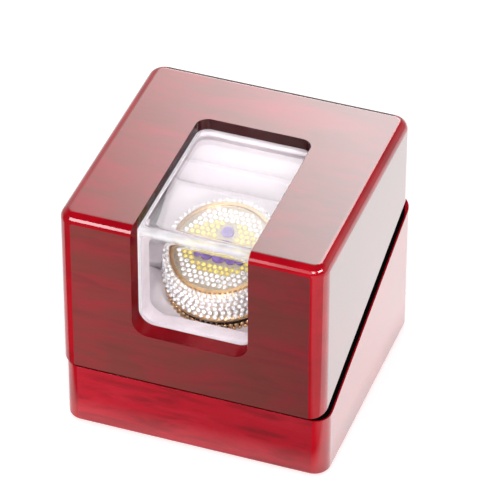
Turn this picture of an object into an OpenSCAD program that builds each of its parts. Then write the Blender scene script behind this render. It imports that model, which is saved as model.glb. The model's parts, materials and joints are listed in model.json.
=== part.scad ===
// Ring display box: a lacquered wooden case with a slanted parting, a clear L-shaped window in the
// lid, a dark collar on the base rim, a soft slotted pad and a large round-headed ring.
// Millimetres, +Z up, front towards -Y. Origin: centre of the closed box's footprint, on the table.

/* [Case] */
// Width of the lid
lid_w = 65; // [60:0.5:75]
// Depth of the lid, and of the base
case_d = 64; // [62:0.5:72]
// Height of the closed box
case_h = 63.3; // [60:0.1:68]
// How far the base stands out past the lid on each side
side_ledge = 0.25; // [0:0.05:0.6]
// How far the lid stands forward of the base
lid_forward = 2; // [1.5:0.1:2.4]
// Radius of the upright corners
corner_r = 4; // [3:0.25:5]
// Radius of the round along the lid's top edges
top_r = 2.5; // [1.5:0.25:3]
// Radius of the round along the base's bottom edges
foot_r = 0.8; // [0.4:0.1:1.5]
// Thickness of the front and side walls
wall_t = 4.5; // [4:0.1:5]
// Thickness of the lid's back wall, which holds the hinges
back_t = 6.5; // [6.3:0.1:7]
// Thickness of the lid's top
top_t = 3; // [2.4:0.1:3.6]
// Thickness of the bottom board
floor_t = 3.4; // [2.4:0.2:4]
// Thickness of the felt under the base
felt_t = 0.6; // [0.4:0.1:1.2]
// How far the felt's edge stays inside the base's outline
felt_inset = 2.5; // [2:0.25:4]

/* [Parting] */
// Height of the lid's lower edge at the front
lid_front_z = 19.4; // [18:0.1:20.5]
// Slope of the parting towards the back, in degrees
tilt = 18.8; // [16:0.1:20]
// Upright distance between lid and base rims at the sides and the back
side_gap = 4.6; // [4.4:0.1:5.2]
// Upright distance between lid and base rims at the front
front_gap = 2.9; // [2.5:0.1:3.2]
// How far the collar's edge stays inside the lid's outline
collar_inset = 0.1; // [0.05:0.05:0.4]
// Thickness of the collar's upstand
upstand_t = 1.2; // [0.8:0.1:1.5]
// How far the upstand reaches up into the lid
upstand_h = 2; // [1.2:0.1:2.4]

/* [Window] */
// Width of the window cut-out
window_w = 28.4; // [24:0.2:30]
// Distance from the lid's front face to the window's back edge
window_d = 46; // [40:0.5:48]
// Height of the window's sill
sill_z = 33; // [31:0.5:36]
// Radius of the window's back corners
window_r = 3; // [1.5:0.25:5]
// Radius of the sill's corners
sill_r = 4; // [2:0.25:6]
// Thickness of the clear cover
cover_t = 1.6; // [1:0.1:2]
// Outer radius of the bend in the clear cover
cover_r = 3; // [2.2:0.2:4]
// How far the clear cover reaches past the cut-out, under the wood
cover_lap = 3; // [2:0.25:4]

/* [Lining] */
// Thickness of the side and back linings
lining_t = 1.5; // [1:0.1:1.7]
// Thickness of the padded lining under the lid's top, below the cover
top_pad_t = 1.8; // [1.4:0.1:2.6]
// Thickness of the padded lining behind the window's front, behind the cover
front_pad_t = 6.2; // [4:0.1:6.4]

/* [Pad] */
// Thickness of the two cushions
cushion_t = 11; // [9:0.25:11]
// Thickness of the board under the cushions
board_t = 2; // [1.2:0.1:2.4]
// Width of the bearers under the board
bearer_w = 4; // [3:0.25:6]
// Width of the slit between the two cushions
slit = 0.4; // [0.3:0.05:0.8]

/* [Ring] */
// How far the ring sits to the left of the pad's middle, along the slit
ring_shift = 1.5; // [0:0.1:2]
// Distance of the ring's face from the lid's front
ring_y = 26.3; // [26:0.1:27.5]
// Height of the middle of the ring's face
ring_z = 42.1; // [41.6:0.1:42.6]
// Radius of the finger hole
finger_r = 9.6; // [9:0.1:10]
// Thickness of the band
band_t = 2.2; // [1.6:0.1:2.4]
// Width of the band at its shoulders
band_top_w = 14; // [11:0.5:15]
// Width of the band at its lowest point
band_foot_w = 6; // [4:0.5:8]
// Radius of the ring's head at the edge of its face, without its stones
head_r = 13.4; // [13.2:0.1:13.6]
// Depth of the ring's head
head_h = 12.4; // [12:0.1:12.8]
// Depth of the head's stone-set flank
flank_h = 7; // [6.6:0.1:7.4]
// How much wider the flank is at its lower rim than at the face
flare = 1.1; // [0.8:0.1:1.3]
// Radius of the bezel around the face
bezel_r = 12.3; // [11.8:0.1:12.4]
// Width of the bezel's wall
bezel_t = 0.8; // [0.5:0.1:1]
// Radius of a stone
stone_r = 0.6; // [0.5:0.05:0.65]
// How far a stone stands out of the flank
stone_h = 0.6; // [0.4:0.05:0.7]
// Rows of white stones around the head's flank
flank_rows = 5; // [3:1:5]
// Half the length of the enamel row on the face
motif_l = 6.2; // [5.6:0.1:6.6]
// How far the enamel row lies below the middle of the face
motif_drop = 2.1; // [1.8:0.1:2.4]
// Radius of the enamel disc above the row
disc_r = 1.5; // [1.2:0.1:1.7]
// Radius of a bead under the head's rim
bead_r = 0.6; // [0.5:0.05:0.65]

/* [Hinges] */
// Length of one hinge
hinge_l = 14; // [12:0.5:16]
// Distance of each hinge's middle from the lid's side
hinge_inset = 15.5; // [14:0.5:18]
// Thickness of a hinge leaf
leaf_t = 0.9; // [0.8:0.05:1.05]
// Width of a hinge leaf, from the pin's middle to its free edge
leaf_w = 5; // [4.8:0.1:5.2]
// Radius of the hinge pin
pin_r = 0.7; // [0.6:0.05:0.8]
// Radial clearance between the pin and the lid's knuckle
pin_fit = 0.05; // [0.03:0.01:0.08]
// Radius of a hinge screw's shank
screw_r = 0.6; // [0.5:0.05:0.7]
// Radius of a hinge screw's head
screw_head_r = 1; // [0.9:0.05:1.1]
// Length of a hinge screw
screw_l = 3; // [2:0.25:3.5]

/* [Clearances] */
// Clearance between pieces that are set into each other
fit = 0.1; // [0.05:0.01:0.15]
// Clearance around soft pieces, and under the closed lid
soft_gap = 0.3; // [0.25:0.05:0.35]
// Clearance between the collar's upstand and the lid's walls
lid_play = 0.5; // [0.4:0.05:0.6]

/* [Hidden] */
$fn = 64;

LACQUER = "#8f2a2e";
PALE = "#e2d9de";
BLACK = "#15100f";
GOLD = "#d9a75a";
BRASS = "#b9994f";

slope = tan(tilt);
base_w = lid_w + 2 * side_ledge;
lid_y = -lid_forward / 2;
base_y = lid_forward / 2;
lid_front = lid_y - case_d / 2;
lid_back = lid_y + case_d / 2;
base_front = base_y - case_d / 2;
base_back = base_y + case_d / 2;

// inside faces of the walls: the lid's and the base's back walls end in one plane
lid_in_x = lid_w / 2 - wall_t;
base_in_x = base_w / 2 - wall_t;
lid_in_front = lid_front + wall_t;
base_in_front = base_front + wall_t;
in_back = lid_back - back_t;
shell_z = felt_t;
floor_z = shell_z + floor_t;
lid_in_top = case_h - top_t;

// height of the lid's lower edge, and of the base's rim, at a given y
function lid_z(y) = lid_front_z + slope * (y - lid_front);
function rim_z(y) = lid_z(y) - side_gap;
front_rim_z = lid_z(base_front) - front_gap;
level_end = base_front + (side_gap - front_gap) / slope;

upstand_top = upstand_h + soft_gap;
lining_lift = 3.8;
big = 3 * lid_w;
eps = 0.01;

// ring, in a frame whose z is square to the face and whose y runs up the slope
ring_at = [-ring_shift, lid_front + ring_y, ring_z];
face_h = 0.6;
hole_h = -head_h + 2.1 - finger_r;
band_r = finger_r + band_t;
band_foot_h = hole_h - band_r;
cushion_top_h = -head_h - soft_gap - 0.1;
board_top_h = cushion_top_h - cushion_t;
board_low_h = board_top_h - board_t;

// hinge axis, half-way between the rims and just inside the base's back face
hinge_x = lid_w / 2 - hinge_inset;
rim_gap = side_gap * cos(tilt);
knuckle_r = rim_gap / 2 - 0.07;
axis_y = base_back - knuckle_r - 0.1;
axis_z = lid_z(axis_y) - side_gap / 2;
knuckle_gap = 0.2;
knuckle_l = (hinge_l - 2 * knuckle_gap) / 3;
screw_at = leaf_w - screw_head_r - 0.4;
screw_x = hinge_l / 2 - 3;

// ---- helpers -----------------------------------------------------------------------------

module rounded_plan(w, d, r) {
    square([w - 2 * r, d], center = true);
    square([w, d - 2 * r], center = true);
    for (x = [-1, 1], y = [-1, 1])
        translate([x * (w / 2 - r), y * (d / 2 - r)])
            circle(r);
}

// a quarter round, centred on the origin, in the first quadrant
module quarter(r) {
    intersection() {
        circle(r);
        square(r + 1);
    }
}

// half of a block's section, from its middle to its outside, with a rounded upper corner
module half_section(reach, h, r) {
    square([reach, h - r]);
    square([reach - r, h]);
    translate([reach - r, h - r])
        quarter(r);
}

module full_section(width, h, r) {
    half_section(width / 2, h, r);
    mirror([1, 0])
        half_section(width / 2, h, r);
}

// a block with round upright corners and a rounded top edge, standing on z = 0
module rounded_block(w, d, h, r, edge_r) {
    translate([w / 2 - r, 0, 0])
        rotate([90, 0, -90])
            linear_extrude(w - 2 * r)
                full_section(d, h, edge_r);
    translate([0, d / 2 - r, 0])
        rotate([90, 0, 0])
            linear_extrude(d - 2 * r)
                full_section(w, h, edge_r);
    for (x = [-1, 1], y = [-1, 1])
        translate([x * (w / 2 - r), y * (d / 2 - r), 0])
            rotate_extrude()
                half_section(r, h, edge_r);
}

// everything above a line that rises towards the back, through z at the lid's front face
module above_slope(z) {
    translate([-big / 2, 0, 0])
        rotate([90, 0, 90])
            linear_extrude(big)
                polygon([
                    [lid_front - big, z - slope * big],
                    [lid_front + big, z + slope * big],
                    [lid_front - big, z + slope * big]
                ]);
}

module box(low, high) {
    translate(low)
        cube(high - low);
}

// places its children in the ring's frame
module on_slope() {
    translate(ring_at)
        rotate([tilt, 0, 0])
            children();
}

// a slanted slab between two heights of the ring's frame, cut to an upright outline
module slanted_slab(half_w, front, back, low_h, high_h) {
    intersection() {
        on_slope()
            box([-big, -big, low_h], [big, big, high_h]);
        box([-half_w, front, -big], [half_w, back, big]);
    }
}

// ---- lid -----------------------------------------------------------------------------------

module window_plan(w) {
    back = lid_front + window_d;
    front = lid_front - 1;
    translate([-w / 2, front])
        square([w, back - window_r - front]);
    translate([-w / 2 + window_r, front])
        square([w - 2 * window_r, back - front]);
    for (x = [-1, 1])
        translate([x * (w / 2 - window_r), back - window_r])
            circle(window_r);
}

module window_front(w) {
    translate([-w / 2, sill_z + sill_r])
        square([w, case_h]);
    translate([-w / 2 + sill_r, sill_z])
        square([w - 2 * sill_r, case_h]);
    for (x = [-1, 1])
        translate([x * (w / 2 - sill_r), sill_z + sill_r])
            circle(sill_r);
}

// the cut through the top, down to a height, and the cut through the front, back to a depth
module window_cut(low_z, deep_y) {
    translate([0, 0, low_z])
        linear_extrude(case_h + 1 - low_z)
            window_plan(window_w);
    translate([0, deep_y, 0])
        rotate([90, 0, 0])
            linear_extrude(deep_y - lid_front + 1)
                window_front(window_w);
}

module lid_shell() {
    color(LACQUER)
        difference() {
            intersection() {
                translate([0, lid_y, 0])
                    rounded_block(lid_w, case_d, case_h, corner_r, top_r);
                above_slope(lid_front_z);
            }
            box([-lid_in_x, lid_in_front, -1], [lid_in_x, in_back, lid_in_top]);
            window_cut(lid_in_top - 1, lid_in_front + 1);
            for (x = [-hinge_x, hinge_x])
                hinge_screw_holes(x, 1);
        }
}

cover_back = lid_front + window_d + cover_lap;
cover_low = sill_z - cover_lap;
cover_w = window_w + 2 * cover_lap;

module cover_section(grow) {
    top = lid_in_top + grow;
    front = lid_in_front - grow;
    r = cover_r + grow;
    under = cover_t + 2 * grow;
    translate([front + r, top - under])
        square([cover_back + grow - front - r, under]);
    translate([front, cover_low - grow])
        square([under, top - r - cover_low + grow]);
    translate([front + r, top - r])
        difference() {
            mirror([1, 0])
                quarter(r);
            circle(r - under);
        }
}

module cover_solid(grow) {
    half = cover_w / 2 + grow;
    translate([-half, 0, 0])
        rotate([90, 0, 90])
            linear_extrude(2 * half)
                cover_section(grow);
}

module window_cover() {
    color("#eef2f6", 0.35)
        cover_solid(0);
}

module lid_lining_top() {
    low = lid_in_top - cover_t - top_pad_t;
    half = lid_in_x - fit;
    color(PALE)
        difference() {
            box([-half, lid_in_front + cover_r + fit, low], [half, in_back - fit, lid_in_top - fit]);
            cover_solid(fit);
            translate([0, 0, low - 1])
                linear_extrude(top_pad_t + cover_t + 2)
                    window_plan(window_w);
        }
}

lid_lining_low = lid_front_z + lining_lift;
front_pad_back = lid_in_front + cover_t + front_pad_t;
top_pad_low = lid_in_top - cover_t - top_pad_t;

// the padded frame behind the window's front; its sill falls away inwards, past the ring
module lid_lining_front() {
    half = lid_in_x - fit;
    color(PALE)
        difference() {
            intersection() {
                box([-half, lid_in_front + fit, 0], [half, front_pad_back, top_pad_low - fit]);
                above_slope(lid_lining_low);
            }
            cover_solid(fit);
            translate([0, front_pad_back + 1, 0])
                rotate([90, 0, 0])
                    linear_extrude(front_pad_t + cover_t + 3)
                        window_front(window_w);
            translate([0, lid_in_front + cover_t, sill_z])
                rotate([-tilt, 0, 0])
                    translate([0, 2 * front_pad_t, -sill_z])
                        rotate([90, 0, 0])
                            linear_extrude(2 * front_pad_t)
                                window_front(window_w);
        }
}

module lid_side_lining(side) {
    outer = lid_in_x - fit;
    inner = outer - lining_t;
    color(PALE)
        intersection() {
            box([side > 0 ? inner : -outer, front_pad_back + fit, 0],
                [side > 0 ? outer : -inner, in_back - fit, top_pad_low - fit]);
            above_slope(lid_lining_low);
        }
}

module lid_lining_left() lid_side_lining(-1);
module lid_lining_right() lid_side_lining(1);

module lid_lining_back() {
    half = lid_in_x - lining_t - 2 * fit;
    color(PALE)
        intersection() {
            box([-half, in_back - fit - lining_t, 0], [half, in_back - fit, top_pad_low - fit]);
            above_slope(lid_lining_low);
        }
}

// ---- base ----------------------------------------------------------------------------------

// everything above the base's rim: level behind the front face, then rising to the back
module above_rim(lift) {
    translate([-big / 2, 0, 0])
        rotate([90, 0, 90])
            linear_extrude(big)
                polygon([
                    [base_front - big, front_rim_z + lift],
                    [level_end, front_rim_z + lift],
                    [level_end + big, front_rim_z + lift + slope * big],
                    [base_front - big, front_rim_z + lift + slope * big]
                ]);
}

module base_shell() {
    color(LACQUER)
        difference() {
            translate([0, base_y, shell_z + case_h])
                mirror([0, 0, 1])
                    rounded_block(base_w, case_d, case_h, corner_r, foot_r);
            above_rim(0);
            box([-base_in_x, base_in_front, -1], [base_in_x, in_back, case_h]);
            for (x = [-hinge_x, hinge_x])
                hinge_screw_holes(x, -1);
        }
}

module base_floor() {
    color("#7a4a33")
        box([-base_in_x + fit, base_in_front + fit, shell_z],
            [base_in_x - fit, in_back - fit, floor_z]);
}

module base_felt() {
    color(BLACK)
        translate([0, base_y, 0])
            linear_extrude(felt_t)
                rounded_plan(base_w - 2 * felt_inset, case_d - 2 * felt_inset, corner_r - felt_inset);
}

// the dark collar: a flange between the rims, and an upstand that steers the lid
module rim_collar() {
    flange_w = lid_w - 2 * collar_inset;
    flange_front = base_front + collar_inset;
    flange_back = lid_back - collar_inset;
    up_x = lid_in_x - lid_play;
    up_front = lid_in_front + lid_play;
    up_back = in_back - lid_play;
    color(BLACK)
        difference() {
            union() {
                difference() {
                    intersection() {
                        translate([0, (flange_front + flange_back) / 2, 0])
                            linear_extrude(case_h)
                                rounded_plan(flange_w, flange_back - flange_front,
                                    corner_r - collar_inset);
                        above_rim(0);
                    }
                    above_slope(lid_front_z - soft_gap);
                }
                difference() {
                    intersection() {
                        box([-up_x, up_front, 0], [up_x, up_back, case_h]);
                        above_rim(eps);
                    }
                    above_slope(lid_front_z + upstand_h);
                }
            }
            box([-up_x + upstand_t, up_front + upstand_t, -1],
                [up_x - upstand_t, up_back - upstand_t, case_h]);
            for (x = [-hinge_x, hinge_x])
                hinge_pocket(x);
        }
}

lining_in_x = base_in_x - fit - lining_t;
lining_in_front = base_in_front + fit + lining_t;
lining_in_back = in_back - fit - lining_t;

// one lining board of the base, from the floor up to the collar
module base_lining(low, high) {
    color(PALE)
        difference() {
            box([low[0], low[1], floor_z], [high[0], high[1], case_h]);
            above_rim(-fit);
        }
}

module base_lining_front()
    base_lining([-lining_in_x + fit, base_in_front + fit], [lining_in_x - fit, lining_in_front]);
module base_lining_back()
    base_lining([-lining_in_x + fit, lining_in_back], [lining_in_x - fit, in_back - fit]);
module base_lining_left()
    base_lining([-base_in_x + fit, base_in_front + fit], [-lining_in_x, in_back - fit]);
module base_lining_right()
    base_lining([lining_in_x, base_in_front + fit], [base_in_x - fit, in_back - fit]);

// ---- pad -----------------------------------------------------------------------------------

pad_half = min(lining_in_x, lid_in_x - lid_play - upstand_t) - soft_gap;
pad_front = max(lining_in_front, lid_in_front + lid_play + upstand_t) + soft_gap;
pad_back = min(lining_in_back, in_back - lid_play - upstand_t) - soft_gap;

module bearer(side) {
    color("#b08a64")
        difference() {
            box([side > 0 ? pad_half - bearer_w : -pad_half, pad_front, floor_z],
                [side > 0 ? pad_half : -pad_half + bearer_w, pad_back, case_h]);
            on_slope()
                box([-big, -big, board_low_h], [big, big, big]);
        }
}

module bearer_left() bearer(-1);
module bearer_right() bearer(1);

// the band's outline seen from the side, grown by a clearance
module band_taper(grow) {
    top = -head_h;
    half_top = band_top_w / 2 + grow;
    half_foot = band_foot_w / 2 + grow;
    rotate([90, 0, 90])
        translate([0, 0, -band_r - grow])
            linear_extrude(2 * (band_r + grow))
                polygon([
                    [-half_top, top + (grow > 0 ? big : 0)],
                    [half_top, top + (grow > 0 ? big : 0)],
                    [half_top, top],
                    [half_foot, band_foot_h - grow],
                    [-half_foot, band_foot_h - grow],
                    [-half_top, top]
                ]);
}

module cushion_board() {
    color("#d8ccb8")
        difference() {
            slanted_slab(pad_half, pad_front, pad_back, board_low_h, board_top_h);
            on_slope()
                band_taper(soft_gap);
        }
}

module cushion(side) {
    color(PALE)
        intersection() {
            difference() {
                slanted_slab(pad_half, pad_front, pad_back, board_top_h, cushion_top_h);
                on_slope()
                    band_taper(soft_gap);
            }
            on_slope()
                box([-big, side > 0 ? slit / 2 : -big, -big], [big, side > 0 ? big : -slit / 2, big]);
        }
}

module cushion_front() cushion(-1);
module cushion_rear() cushion(1);

// ---- ring ----------------------------------------------------------------------------------

module ring_band() {
    color(GOLD)
        on_slope()
            difference() {
                intersection() {
                    translate([0, 0, hole_h])
                        rotate([90, 0, 0])
                            cylinder(r = band_r, h = 2 * band_top_w, center = true);
                    band_taper(0);
                }
                translate([0, 0, hole_h])
                    rotate([90, 0, 0])
                        cylinder(r = finger_r, h = 3 * band_top_w, center = true);
            }
}

rim_top = -face_h - flank_h;
rim_low = rim_top - 0.7;
rim_r = head_r + flare + 0.5;
groove_low = rim_low - 1.2;
neck_r = head_r + 0.4;

// the head turned in one piece: flank, rim, groove and the neck that carries the beads
module ring_head() {
    color(GOLD)
        on_slope()
            difference() {
                rotate_extrude()
                    polygon([
                        [0, -face_h],
                        [head_r, -face_h],
                        [head_r + flare, rim_top],
                        [rim_r, rim_top],
                        [rim_r, rim_low],
                        [neck_r - 1.5, rim_low],
                        [neck_r - 1.5, groove_low],
                        [neck_r, groove_low],
                        [neck_r, -head_h],
                        [0, -head_h]
                    ]);
                translate([0, 0, hole_h])
                    rotate([90, 0, 0])
                        cylinder(r = finger_r, h = 3 * head_r, center = true);
            }
}

module ring_bezel() {
    color(GOLD)
        on_slope()
            translate([0, 0, -face_h])
                difference() {
                    cylinder(r = bezel_r, h = face_h + 0.3);
                    translate([0, 0, -1])
                        cylinder(r = bezel_r - bezel_t, h = face_h + 3);
                }
}

plate_t = 0.3;
plate_top = -face_h + plate_t;

module ring_face() {
    color("#e9dcc0")
        on_slope()
            translate([0, 0, -face_h])
                cylinder(r = bezel_r - bezel_t - fit, h = plate_t);
}

stone_t = 0.35;

middle_r = motif_l * 0.27;
disc_h = disc_r + 2.4;

// a plain motif: five discs in a row, the largest in the middle, and one disc above them
module ring_rosette() {
    next_r = motif_l * 0.23;
    last_r = motif_l * 0.16;
    color("#6d5296")
        on_slope()
            translate([0, 0, plate_top])
                linear_extrude(stone_t) {
                    translate([0, disc_h])
                        circle(disc_r);
                    translate([0, -motif_drop])
                        circle(middle_r);
                    for (side = [-1, 1]) {
                        translate([side * motif_l * 0.48, -motif_drop])
                            circle(next_r);
                        translate([side * (motif_l - last_r), -motif_drop])
                            circle(last_r);
                    }
                }
}

// a cut stone standing on a flat face: an eight-sided prism
module stone(r, h) {
    cylinder(r = r, h = h, $fn = 8);
}

// the stones of the face stand in a field of this radius, and the yellow ones in an oval
stone_pitch = 2 * stone_r + 0.2;
field_r = bezel_r - bezel_t - fit - stone_r - 0.05;
around = stone_r + 0.2;
yellow_a = 9.6;
yellow_b = 7;

// how far a point lies out from the middle of an oval with these half axes: 1 on the oval itself
function in_oval(x, y, a, b) = norm([x / a, y / b]);

// the face's staggered field of stones: yellow ones around the motif, white ones outside them
module stone_field(yellow) {
    rows = ceil(field_r / stone_pitch) + 2;
    for (row = [-rows:rows], i = [-rows:rows]) {
        x = (i + (row % 2 == 0 ? 0 : 0.5)) * stone_pitch;
        y = row * stone_pitch * sin(60);
        off_row = in_oval(x, y + motif_drop, motif_l + around, middle_r + around) > 1;
        off_disc = norm([x, y - disc_h]) > disc_r + around;
        golden = in_oval(x, y, yellow_a, yellow_b) < 1;
        if (norm([x, y]) < field_r && off_row && off_disc && golden == yellow)
            translate([x, y, plate_top])
                stone(stone_r, stone_t);
    }
}

module ring_yellow_stones() {
    color("#e8d44c")
        on_slope()
            stone_field(true);
}

flank_angle = atan(flare / flank_h);
flank_l = flank_h / cos(flank_angle);

// one row of stones around the flank, a distance down from its upper edge
module flank_row(down, turn) {
    count = floor(2 * PI * head_r / (2 * stone_r + 0.25));
    for (i = [0:count - 1])
        rotate(360 * (i + turn) / count)
            translate([head_r, 0, -face_h])
                rotate([0, 90 - flank_angle, 0])
                    translate([down, 0, 0.02])
                        stone(stone_r, stone_h);
}

module ring_white_stones() {
    halo_path = (bezel_r + head_r) / 2;
    halo_r = (head_r - bezel_r) / 2 - 0.02;
    halo_count = floor(2 * PI * halo_path / (2 * halo_r + 0.2));
    first = stone_r + 0.05;
    step = (flank_l - 2 * first) / (flank_rows - 1);
    color("#f4f4f8")
        on_slope() {
            stone_field(false);
            for (i = [0:halo_count - 1])
                rotate(360 * i / halo_count)
                    translate([halo_path, 0, -face_h])
                        stone(halo_r, face_h);
            for (row = [0:flank_rows - 1])
                flank_row(first + row * step, row / 2);
        }
}

module ring_beads() {
    path = neck_r + bead_r + 0.02;
    count = floor(2 * PI * path / (2 * bead_r + 0.15));
    color(GOLD)
        on_slope()
            for (row = [0, 1], i = [0:count - 1])
                rotate(360 * (i + row / 2) / count)
                    translate([path, 0, -head_h + bead_r + 0.05 + row * (2 * bead_r + 0.1)])
                        sphere(bead_r, $fn = 16);
}

// ---- hinges --------------------------------------------------------------------------------

// places its children on the hinge axis, y running up the slope and z square to the rims
module at_hinge(x) {
    translate([x, axis_y, axis_z])
        rotate([tilt, 0, 0])
            children();
}

module knuckle(x, length, bore_r) {
    translate([x - length / 2, 0, 0])
        rotate([0, 90, 0])
            difference() {
                cylinder(r = knuckle_r, h = length);
                translate([0, 0, -1])
                    cylinder(r = bore_r, h = length + 2);
            }
}

// the room that a hinge takes in the collar
module hinge_pocket(x) {
    at_hinge(x)
        box([-hinge_l / 2 - soft_gap, -leaf_w - soft_gap, -big],
            [hinge_l / 2 + soft_gap, big, big]);
}

module hinge_screw_holes(x, side) {
    at_hinge(x)
        for (i = [-1, 1])
            translate([i * screw_x, -screw_at, 0])
                mirror([0, 0, side > 0 ? 0 : 1])
                    cylinder(r = screw_r + fit / 2, h = rim_gap / 2 + screw_l + fit, $fn = 24);
}

// side is 1 for the lid's leaf and -1 for the base's
module hinge_leaf(x, side) {
    seat = rim_gap / 2;
    color(BRASS)
        at_hinge(x)
            mirror([0, 0, side > 0 ? 0 : 1])
                difference() {
                    union() {
                        box([-hinge_l / 2, -leaf_w, seat - leaf_t], [hinge_l / 2, -knuckle_r, seat]);
                        for (i = side > 0 ? [0] : [-1, 1])
                            leaf_knuckle(i * (knuckle_l + knuckle_gap), seat);
                    }
                    for (i = side > 0 ? [0] : [-1, 1])
                        translate([i * (knuckle_l + knuckle_gap) - knuckle_l, 0, 0])
                            rotate([0, 90, 0])
                                cylinder(r = pin_r + (side > 0 ? pin_fit : 0.02), h = 2 * knuckle_l);
                    for (i = [-1, 1])
                        translate([i * screw_x, -screw_at, seat - leaf_t - 1]) {
                            cylinder(r = screw_r + fit / 2, h = leaf_t + 2, $fn = 24);
                            cylinder(r = screw_head_r + fit / 2, h = 1 + leaf_t / 2, $fn = 24);
                        }
                }
}

// one knuckle with the web that joins it to its leaf
module leaf_knuckle(x, seat) {
    translate([x - knuckle_l / 2, 0, 0])
        rotate([0, 90, 0])
            cylinder(r = knuckle_r, h = knuckle_l);
    box([x - knuckle_l / 2, -knuckle_r - 0.5, seat - leaf_t], [x + knuckle_l / 2, 0, knuckle_r]);
}

module lid_hinge_leaf_left() hinge_leaf(-hinge_x, 1);
module lid_hinge_leaf_right() hinge_leaf(hinge_x, 1);
module base_hinge_leaf_left() hinge_leaf(-hinge_x, -1);
module base_hinge_leaf_right() hinge_leaf(hinge_x, -1);

module hinge_pins() {
    color("#8d8a84")
        for (x = [-hinge_x, hinge_x])
            at_hinge(x)
                translate([-hinge_l / 2, 0, 0])
                    rotate([0, 90, 0])
                        cylinder(r = pin_r, h = hinge_l, $fn = 32);
}

module hinge_screws(side) {
    seat = rim_gap / 2;
    color(BRASS)
        for (x = [-hinge_x, hinge_x], i = [-1, 1])
            at_hinge(x)
                mirror([0, 0, side > 0 ? 0 : 1])
                    translate([i * screw_x, -screw_at, seat - leaf_t]) {
                        cylinder(r = screw_head_r, h = leaf_t / 2, $fn = 24);
                        cylinder(r = screw_r, h = leaf_t + screw_l, $fn = 24);
                    }
}

module lid_hinge_screws() hinge_screws(1);
module base_hinge_screws() hinge_screws(-1);

// ---- drawing -------------------------------------------------------------------------------

lid_shell();
window_cover();
lid_lining_top();
lid_lining_front();
lid_lining_left();
lid_lining_right();
lid_lining_back();
lid_hinge_leaf_left();
lid_hinge_leaf_right();
lid_hinge_screws();
base_shell();
base_floor();
base_felt();
rim_collar();
base_lining_front();
base_lining_back();
base_lining_left();
base_lining_right();
bearer_left();
bearer_right();
cushion_board();
cushion_front();
cushion_rear();
base_hinge_leaf_left();
base_hinge_leaf_right();
base_hinge_screws();
hinge_pins();
ring_band();
ring_head();
ring_bezel();
ring_face();
ring_rosette();
ring_yellow_stones();
ring_white_stones();
ring_beads();
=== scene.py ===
"""Ring display box: the looks of its lacquered case, clear window, padding and ring."""

import json
from math import asin, ceil, cos, hypot, pi, radians, sin

import bmesh
import bpy
from bpy.props import FloatProperty, FloatVectorProperty, IntProperty, PointerProperty
from mathutils import Matrix, Vector

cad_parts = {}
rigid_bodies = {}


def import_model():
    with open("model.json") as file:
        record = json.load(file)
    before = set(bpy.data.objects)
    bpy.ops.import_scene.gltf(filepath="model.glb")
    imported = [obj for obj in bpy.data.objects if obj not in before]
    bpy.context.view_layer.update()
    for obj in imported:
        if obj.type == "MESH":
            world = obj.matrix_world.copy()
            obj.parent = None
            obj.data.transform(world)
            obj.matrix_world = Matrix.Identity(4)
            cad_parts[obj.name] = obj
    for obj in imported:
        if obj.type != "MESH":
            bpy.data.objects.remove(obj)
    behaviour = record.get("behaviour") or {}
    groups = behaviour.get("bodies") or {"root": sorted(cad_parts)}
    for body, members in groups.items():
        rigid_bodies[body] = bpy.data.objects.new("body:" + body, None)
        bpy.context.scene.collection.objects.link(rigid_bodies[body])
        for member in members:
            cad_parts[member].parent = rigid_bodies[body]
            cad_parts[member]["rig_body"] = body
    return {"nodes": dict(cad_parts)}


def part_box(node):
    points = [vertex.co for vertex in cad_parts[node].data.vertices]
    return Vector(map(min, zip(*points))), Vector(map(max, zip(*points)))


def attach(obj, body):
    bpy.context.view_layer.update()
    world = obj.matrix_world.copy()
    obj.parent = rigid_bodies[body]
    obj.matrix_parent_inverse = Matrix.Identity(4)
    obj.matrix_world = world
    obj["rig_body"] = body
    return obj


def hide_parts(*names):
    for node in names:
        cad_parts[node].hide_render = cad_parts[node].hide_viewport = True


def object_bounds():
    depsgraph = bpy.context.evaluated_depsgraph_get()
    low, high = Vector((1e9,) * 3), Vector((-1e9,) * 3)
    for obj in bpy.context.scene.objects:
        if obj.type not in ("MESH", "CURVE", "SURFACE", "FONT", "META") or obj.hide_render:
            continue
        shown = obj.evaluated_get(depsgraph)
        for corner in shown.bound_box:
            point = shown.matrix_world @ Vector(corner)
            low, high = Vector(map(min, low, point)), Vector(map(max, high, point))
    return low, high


bl_info = {
    "name": "Ring display box",
    "version": (1, 0, 0),
    "blender": (4, 5, 0),
    "location": "3D View > Sidebar > Ring Box",
    "description": "Dresses the parts of a lacquered ring box with a window lid",
    "category": "Object",
}

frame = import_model()
CAD_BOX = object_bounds()

MM = 0.001
SHARP = radians(30)
PARTING_TILT = radians(18.8)


# ---- sizes and colours ---------------------------------------------------------------------


def colour(name, description, value):
    """A colour property with its usual settings."""
    return FloatVectorProperty(
        name=name, description=description, default=value, subtype="COLOR", size=3, min=0, max=1
    )


def length(name, description, millimetres):
    """A length property, given in millimetres and kept in metres."""
    return FloatProperty(
        name=name, description=description, default=millimetres * MM, subtype="DISTANCE", unit="LENGTH", min=0
    )


def number(name, description, value, low=0.0, high=1.0):
    """A plain number property."""
    return FloatProperty(name=name, description=description, default=value, min=low, max=high)


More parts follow.
